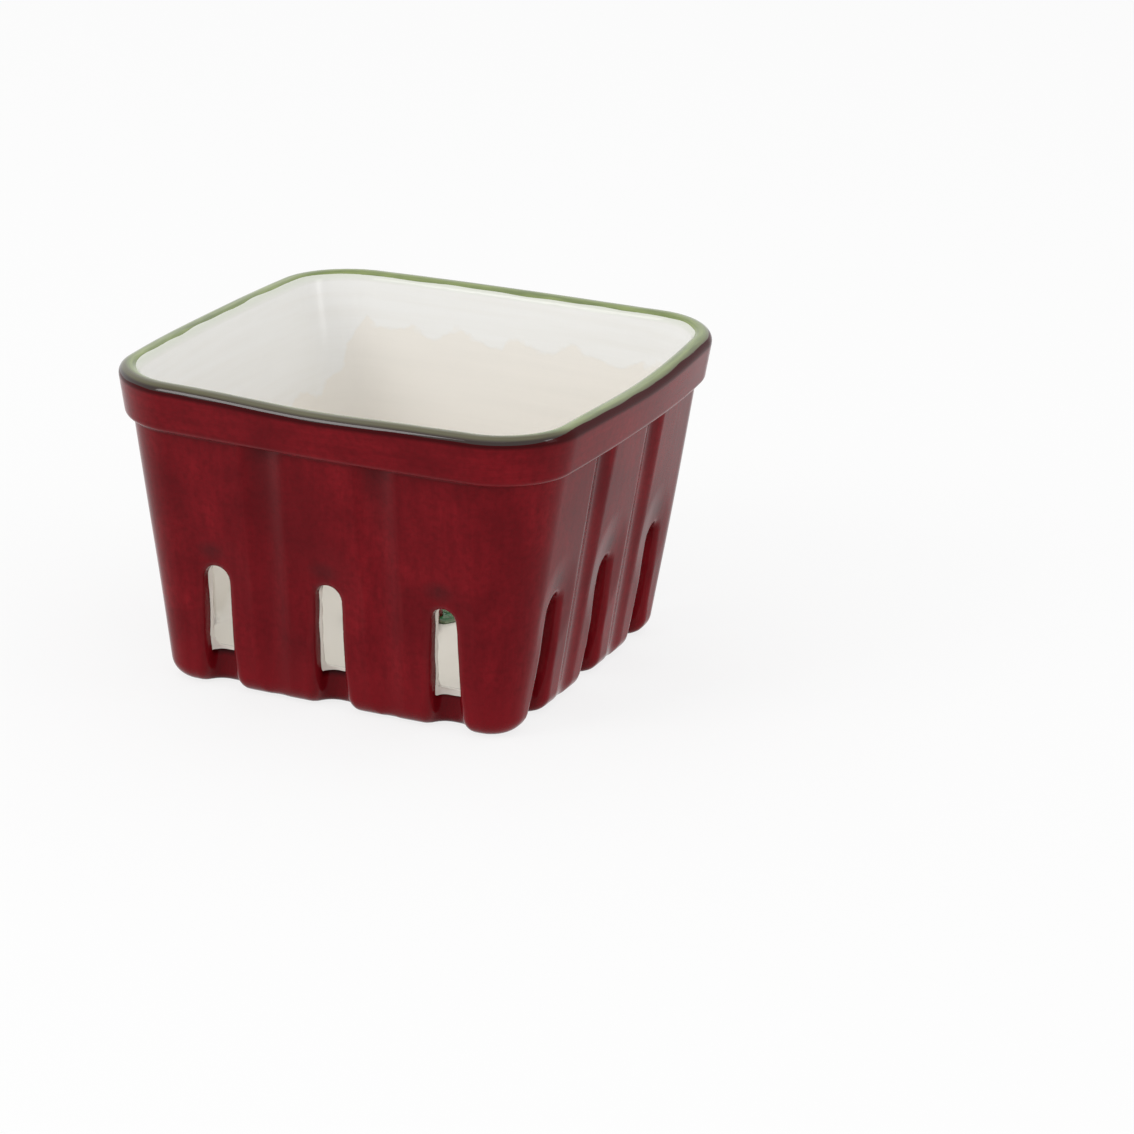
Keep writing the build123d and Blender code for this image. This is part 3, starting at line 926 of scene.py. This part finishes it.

# %% Red glaze, thick in hollows and thin on edges, with painted shade in hollows, slots, flutes, sills and under the lip
# Lighter red towards the foot, in the colour of the thin strokes.
at_foot = add("MapRange", [height, 18 * MM, 3 * MM, 0, 0.55])
# Painted shade with some pooled glaze: grey-red in the upper flutes, under the band.
in_flute = add("MapRange", [depth_mm, 0.4, 2.0, 0, 0.55])
high = add("MapRange", [height, 44 * MM, 70 * MM])
grey_pool_and_shade = add("Math", [in_flute, high], operation="MULTIPLY")
# Painted shade with some pooled glaze: a patch over each arch, on its shallow dish.
arch_pool_and_shade = add("MapRange", [arch_mm, 3.6, 1.0, 0, 1.1])
arch_pool_and_shade = add("Math", [arch_pool_and_shade, strokes], operation="MULTIPLY")
grey_pool_and_shade = add("Math", [grey_pool_and_shade, arch_pool_and_shade], operation="MAXIMUM")
# Pooled glaze in the hollows, and painted shade there and deep in the slots.
in_hollow = add("MapRange", [bend_mm, -0.06, -0.7, 0, 0.6])
in_slot = add("MapRange", [depth_mm, 1.6, 4.2, 0, 0.45])
pool = add("Math", [in_hollow, in_slot], operation="MAXIMUM")
on_edge = add("MapRange", [bend_mm, 0.3, 0.9, 0, 0.25])
outer = add("MapRange", [depth_mm, 3.4, 2.4])
on_edge = add("Math", [on_edge, outer], operation="MULTIPLY")
# Pooled glaze and painted shade: nearly black on the sill at the back of each niche.
at_back = add("MapRange", [depth_mm, 3.6, 4.4])
sill_low, sill_high = (FLOOR_TOP - 2.4) * MM, (FLOOR_TOP - 0.8) * MM
sill_pool_and_shade = add("MapRange", [height, sill_low, sill_high, 0, 0.9])
sill_pool_and_shade = add("Math", [sill_pool_and_shade, at_back], operation="MULTIPLY")
# Painted shade: a dark line just under the lip.
under_lip_shade = add("MapRange", [drop_mm, 3.2, 2.3, 0, 0.95])

# %% Red glaze, one colour over the other
layers = (
    (thin_patches, RED_BRUSHED),
    (thin, RED_THIN),
    (specks, RED_POOL_AND_SHADE),
    (at_foot, RED_THIN),
    (grey_pool_and_shade, RED_GREY_POOL_AND_SHADE),
    (pool, RED_POOL_AND_SHADE),
    (on_edge, RED_EDGE),
    (sill_pool_and_shade, RED_SILL_POOL_AND_SHADE),
    (under_lip_shade, RED_UNDER_LIP_SHADE),
)
gloss = add("MapRange", [strokes, 0.3, 0.75, 0.1, 0.24])
ridges = add("Bump", {"Height": strokes, "Strength": 0.25, "Distance": 0.12 * MM})
finish = {"Roughness": gloss, "Normal": ridges, "Specular IOR Level": RED_MIRROR}
finish_material(add, RED_DEEP, layers, finish)

# %% [markdown]
# ## White glaze
# The inside is a warm white glaze over the same clay. A second, whiter coat was brushed round the
# upper part of the walls and ends in a crisp wavy line, which lies lower on the left wall. The
# glaze is thin on the edges of the slots, where the clay warms it, a little grey where it pools
# and on the floor, and it takes a tinge of green just under the lip.

# %% White glaze, warm gloss over earthenware
WHITE_LOW, WHITE_HIGH, WHITE_POOL = "#EDE9E2", "#EEEEEC", "#E3E0D9"
WHITE_EDGE, WHITE_FLOOR, WHITE_BY_GREEN = "#E4D9D0", "#E5E1D8", "#CFD3C4"
SECOND_COAT = 72  # height of its wavy edge, mm
LOW_ON_LEFT = 24  # how much lower that edge lies on the left wall, mm
TINGE = 1.8  # how far the green tinges the white, mm
WHITE_MIRROR = 0.35

add, place, bend_mm, drop_mm = start_material("white_gloss_glaze", white_coat, "bend", "drop")
axes = add("SeparateXYZ", [place]).node.outputs
waves = add("TexNoise", {"Vector": place, "Scale": grain(14), "Detail": 4})
sway = add("MapRange", [waves, 0.25, 0.75, -5 * MM, 5 * MM])
lower = add("MapRange", [axes["X"], -44 * MM, -54 * MM, 0, LOW_ON_LEFT * MM])
wavy = add("Math", [axes["Z"], sway], operation="ADD")
wavy = add("Math", [wavy, lower], operation="ADD")
edge_low, edge_high = (SECOND_COAT - 0.5) * MM, (SECOND_COAT + 0.8) * MM
second = add("MapRange", [wavy, edge_low, edge_high])
level = add("Mapping", {0: place, "Scale": (0.06, 0.06, 1)})
fine_brush = {"Detail": 4, "Roughness": 0.6}  # for the green line too
strokes = add("TexNoise", {"Vector": level, "Scale": grain(4), **fine_brush})
streaks = add("MapRange", [strokes, 0.4, 0.75, 0, 0.35])
in_hollow = add("MapRange", [bend_mm, -0.05, -0.5, 0, 0.5])
pool = add("Math", [in_hollow, streaks], operation="MAXIMUM")
on_edge = add("MapRange", [bend_mm, 0.35, 1.1, 0, 0.35])
floor_low, floor_high = (FLOOR_TOP + 1) * MM, (FLOOR_TOP + 9) * MM
on_floor = add("MapRange", [axes["Z"], floor_high, floor_low, 0, 0.8])
green_end = HEIGHT - GREEN_LOW
by_green = add("MapRange", [drop_mm, green_end + TINGE, green_end, 0, 0.8])
layers = (
    (second, WHITE_HIGH),
    (on_floor, WHITE_FLOOR),
    (pool, WHITE_POOL),
    (on_edge, WHITE_EDGE),
    (by_green, WHITE_BY_GREEN),
)
gloss = add("MapRange", [strokes, 0.3, 0.75, 0.12, 0.22])
relief = add("Math", [second, strokes], operation="ADD")
ridges = add("Bump", {"Height": relief, "Strength": 0.3, "Distance": 0.15 * MM})
finish = {"Roughness": gloss, "Normal": ridges, "Specular IOR Level": WHITE_MIRROR}
finish_material(add, WHITE_LOW, layers, finish)

# %% [markdown]
# ## Green line
# The lip has one band of green glaze, drawn round it with a brush. The strokes run along the lip,
# so the noise is drawn in the lip's own section: across it by depth, and only slowly along it.
# Towards the outside the green is thin, so the red darkens it. On the front the dark part is wider,
# as painted shade.

# %% Green glaze, brushed along the lip
GREEN_DARK, GREEN_BRUSHED, GREEN_LIGHT = "#5C6B3C", "#707F49", "#8A9859"
GREEN_THIN, GREEN_OVER_RED = "#4A402E", "#25120B"
FRONT_SHADE_REACH = 1.9  # how much further in the dark part reaches on the front, as painted shade, mm

add, place, depth_mm, drop_mm = start_material("green_brushed_glaze", green_line, "depth", "drop")
axes = add("SeparateXYZ", [place]).node.outputs
deep = add("Math", [depth_mm, MM], operation="MULTIPLY")
along = add("Math", [axes["X"], axes["Y"]], operation="ADD")
counter = add("Math", [axes["X"], axes["Y"]], operation="SUBTRACT")
section = add("CombineXYZ", [deep, along, counter])
drawn = add("Mapping", {0: section, "Scale": (1, 0.09, 0.09)})
strokes = add("TexNoise", {"Vector": drawn, "Scale": grain(1.6), **fine_brush})
patches = add("TexNoise", {"Vector": place, "Scale": grain(15), "Detail": 2})
by_patch = add("MapRange", [patches, 0.3, 0.7])
by_stroke = add("MapRange", [strokes, 0.35, 0.72])
# Painted shade: the dark outer part reaches further in on the front.
front_shade = add("MapRange", [axes["Y"], -44 * MM, -60 * MM, 0, FRONT_SHADE_REACH])
covered = add("Math", [depth_mm, front_shade], operation="SUBTRACT")
at_outside = add("MapRange", [covered, 2.7, 1.1, 0, 0.85])
at_end = add("MapRange", [drop_mm, 0.4, 0.9])
on_outside = add("MapRange", [depth_mm, 1.6, 1.2])
over_red = add("Math", [at_end, on_outside], operation="MULTIPLY")
layers = (
    (by_patch, GREEN_BRUSHED),
    (by_stroke, GREEN_LIGHT),
    (at_outside, GREEN_THIN),
    (over_red, GREEN_OVER_RED),
)
gloss = add("MapRange", [strokes, 0.3, 0.75, 0.05, 0.12])
ridges = add("Bump", {"Height": strokes, "Strength": 0.2, "Distance": 0.06 * MM})
finish_material(add, GREEN_DARK, layers, {"Roughness": gloss, "Normal": ridges})

# %% [markdown]
# ## Bare clay
# The foot ring and the recess under the floor are left without glaze. Fired earthenware is matt
# and a little sandy, with dark and light specks of grog.

# %% Fired clay, bare
CLAY_PALE, CLAY_WARM, CLAY_SPECK = "#DCCDB4", "#C9B08F", "#8A6F55"

add, place = start_material("fired_earthenware", clay_body)
clouds = add("TexNoise", {"Vector": place, "Scale": grain(14), "Detail": 4})
# Real grog is under half a millimetre. It is drawn a little coarser, so that it shows.
grog = add("TexNoise", {"Vector": place, "Scale": grain(0.9), "Detail": 2})
warm = add("MapRange", [clouds, 0.35, 0.7])
dark = add("MapRange", [grog, 0.64, 0.74, 0, 0.7])
layers = ((warm, CLAY_WARM), (dark, CLAY_SPECK))
rough = add("MapRange", [clouds, 0.3, 0.7, 0.75, 0.92])
sand = add("Bump", {"Height": grog, "Strength": 0.4, "Distance": 0.1 * MM})
finish_material(add, CLAY_PALE, layers, {"Roughness": rough, "Normal": sand})

# %% [markdown]
# ## Berry and leaf
# The sprig is painted by hand under a clear gloss. Each drupelet is a dark red-brown with a painted
# cream highlight on its upper side, and painted shade makes the creases between them nearly black.
# The leaf is a deep green that thins to a greyish taupe at its rim and along its veins. The mound
# under the berry and the leaf's midrib have two colours each, and the mound's darker one is the
# painted shade of the creases.

# %% Berry glaze, drupelets with painted highlights and painted shade in the creases
BERRY_DARK, BERRY_RED, BERRY_SHADE, BERRY_HIGHLIGHT = "#4E1110", "#74201B", "#1D0606", "#E2D3BD"
HIGHLIGHT_RADIUS = 0.85  # radius of the painted highlight, mm
SPRIG_MIRROR = 0.3  # specular level of the clear gloss

add, place, highlight_mm, crease_mm = start_material("berry_underglaze", berry_beads, "highlight", "crease")
blots = add("TexNoise", {"Vector": place, "Scale": grain(1.8), "Detail": 4})
stray = add("MapRange", [blots, 0.25, 0.75, -0.5, 0.5])
stray = add("Math", [highlight_mm, stray], operation="ADD")
# Painted highlight: a cream spot on the upper side of each bead.
on_highlight = add("MapRange", [stray, HIGHLIGHT_RADIUS + 0.25, HIGHLIGHT_RADIUS - 0.15, 0, 0.9])
red = add("MapRange", [blots, 0.35, 0.7])
# Painted shade: the creases between the beads go nearly black.
crease_shade = add("MapRange", [crease_mm, 0.9, 0.15, 0, 0.9])
layers = ((red, BERRY_RED), (crease_shade, BERRY_SHADE), (on_highlight, BERRY_HIGHLIGHT))
gloss = add("MapRange", [blots, 0.3, 0.7, 0.1, 0.2])
finish_material(add, BERRY_DARK, layers, {"Roughness": gloss, "Specular IOR Level": SPRIG_MIRROR})

# %% Leaf glaze, painted green
LEAF_DEEP, LEAF_GREEN, LEAF_RIM, LEAF_VEIN = "#0F4A24", "#1E6B36", "#8C8A76", "#6E8A7C"

add, place, edge_mm, vein_mm = start_material("leaf_underglaze", leaf_blade, "edge", "vein")
blots = add("TexNoise", {"Vector": place, "Scale": grain(2.6), "Detail": 4})
light = add("MapRange", [blots, 0.35, 0.68])
sway = add("MapRange", [blots, 0.25, 0.75, -0.4, 0.4])
from_rim = add("Math", [edge_mm, sway], operation="ADD")
at_rim = add("MapRange", [from_rim, 0.75, 0.1, 0, 0.6])
at_vein = add("MapRange", [vein_mm, 0.4, 0.1, 0, 0.55])
layers = ((light, LEAF_GREEN), (at_vein, LEAF_VEIN), (at_rim, LEAF_RIM))
gloss = add("MapRange", [blots, 0.3, 0.7, 0.1, 0.22])
finish_material(add, LEAF_DEEP, layers, {"Roughness": gloss, "Specular IOR Level": SPRIG_MIRROR})

# %% Plainer glaze on the mound under the berry, dark with painted shade, and on the midrib
for name, piece, size, detail, full, base, colour, rough in (
    ("berry_mound_underglaze", berry_mound, 1.8, 4, 0.75, BERRY_SHADE, BERRY_DARK, 0.2),
    ("midrib_underglaze", leaf_rib, 2, 3, 0.7, LEAF_GREEN, LEAF_RIM, 0.18),
):
    add, place = start_material(name, piece)
    blots = add("TexNoise", {"Vector": place, "Scale": grain(size), "Detail": detail})
    light = add("MapRange", [blots, 0.35, full])
    finish = {"Roughness": rough, "Specular IOR Level": SPRIG_MIRROR}
    finish_material(add, base, [(light, colour)], finish)

# %% [markdown]
# ## Camera
# The camera stands where the photograph was taken from, in front, a little to the right and about
# twenty degrees above, with a long lens. Its place came from matching the bowl's outlines.

# %% Camera at the photograph's place
AZIMUTH, ELEVATION, ROLL = radians(23.225), radians(19.603), radians(1.801)
CAMERA_MM = (443.477, -931.024, 392.352)
LENS, SENSOR = 128.6, 36  # mm

camera_data = bpy.data.cameras.new("photo_camera")
camera_data.lens, camera_data.sensor_width = LENS, SENSOR
camera = add_object("photo_camera", camera_data)
back = Vector((sin(AZIMUTH) * cos(ELEVATION), -cos(AZIMUTH) * cos(ELEVATION), sin(ELEVATION)))
right = Vector((cos(AZIMUTH), sin(AZIMUTH), 0))
up = back.cross(right)
right, up = right * cos(ROLL) + up * sin(ROLL), up * cos(ROLL) - right * sin(ROLL)
camera.matrix_world = Matrix((right, up, back)).transposed().to_4x4()
camera.location = Vector(CAMERA_MM) * MM
bpy.context.scene.camera = camera
bpy.context.scene.view_settings.view_transform = "Standard"
print("camera at", [round(v, 3) for v in camera.location])

# %% [markdown]
# ## Light, floor and background
# The photograph has a plain white ground and soft light. One softbox at the left front gives the
# line of light along the lip, a wide one overhead lights the inside, and a narrow one at the right
# gives that wall its sheen. An even world fills the rest. The ground is white for the camera, for
# mirrors and for glass, and a share of plain diffuse white in it keeps the shadow.

# %% Softboxes and world
AMBIENT = 0.86  # strength of the world's light on the bowl
WHITE = (1, 1, 1, 1)
SEEN_BY = ("Is Camera Ray", "Is Glossy Ray", "Is Transmission Ray")


def add_softbox(name, place, width, height, watts):
    """A flat area lamp that faces the middle of the bowl. Its place and sizes are in metres."""
    lamp = bpy.data.lights.new(name, "AREA")
    lamp.shape = "RECTANGLE"
    lamp.energy, lamp.size, lamp.size_y = watts, width, height
    softbox = add_object(name, lamp)
    softbox.location = place
    aim = Vector((0, 0, HEIGHT * MM / 2)) - softbox.location
    softbox.rotation_euler = aim.to_track_quat("-Z", "Y").to_euler()
    print(name, "at", place, "with", watts, "W")


def seen_directly(add):
    """One for rays that show the background: from the camera, a mirror or glass."""
    rays = add("LightPath", []).node.outputs
    seen = rays[SEEN_BY[0]]
    for kind in SEEN_BY[1:]:
        seen = add("Math", [seen, rays[kind]], operation="MAXIMUM")
    return seen


add_softbox("key_softbox", (-0.85, -1.3, 1.05), 0.7, 0.75, 7.5)
add_softbox("top_softbox", (0, -0.2, 1.5), 1.6, 1.6, 2.5)
add_softbox("side_softbox", (1.5, 0.1, 0.5), 0.3, 0.8, 2.2)

world = bpy.data.worlds.new("white_studio")
world.use_nodes = True
bpy.context.scene.world = world
tree = world.node_tree
add = partial(add_node, tree)
strength = add("Mix", {0: seen_directly(add), 2: AMBIENT, 3: 1})
feed(tree.nodes["Background"], {"Color": WHITE, "Strength": strength})

# %% Floor
FLOOR_SIZE = 6  # metres
SHADOW_SHARE = 0.2  # how much of the floor's white the shadow can take
PAPER = (0.85, 0.85, 0.85, 1)

edge = FLOOR_SIZE / 2
floor_corners = [(-edge, -edge, 0), (edge, -edge, 0), (edge, edge, 0), (-edge, edge, 0)]
floor_mesh = bpy.data.meshes.new("studio_floor")
floor_mesh.from_pydata(floor_corners, [], [(0, 1, 2, 3)])
floor = add_object("studio_floor", floor_mesh)

paper = bpy.data.materials.new("white_paper")
paper.use_nodes = True
floor_mesh.materials.append(paper)
tree = paper.node_tree
add = partial(add_node, tree)
tree.nodes.remove(tree.nodes["Principled BSDF"])
lit = add("BsdfDiffuse", {"Color": PAPER})
plain = add("Emission", {"Color": WHITE, "Strength": 1})
share = add("Math", [seen_directly(add), 1 - SHADOW_SHARE], operation="MULTIPLY")
ground = add("MixShader", [share, lit, plain])
feed(tree.nodes["Material Output"], {"Surface": ground})
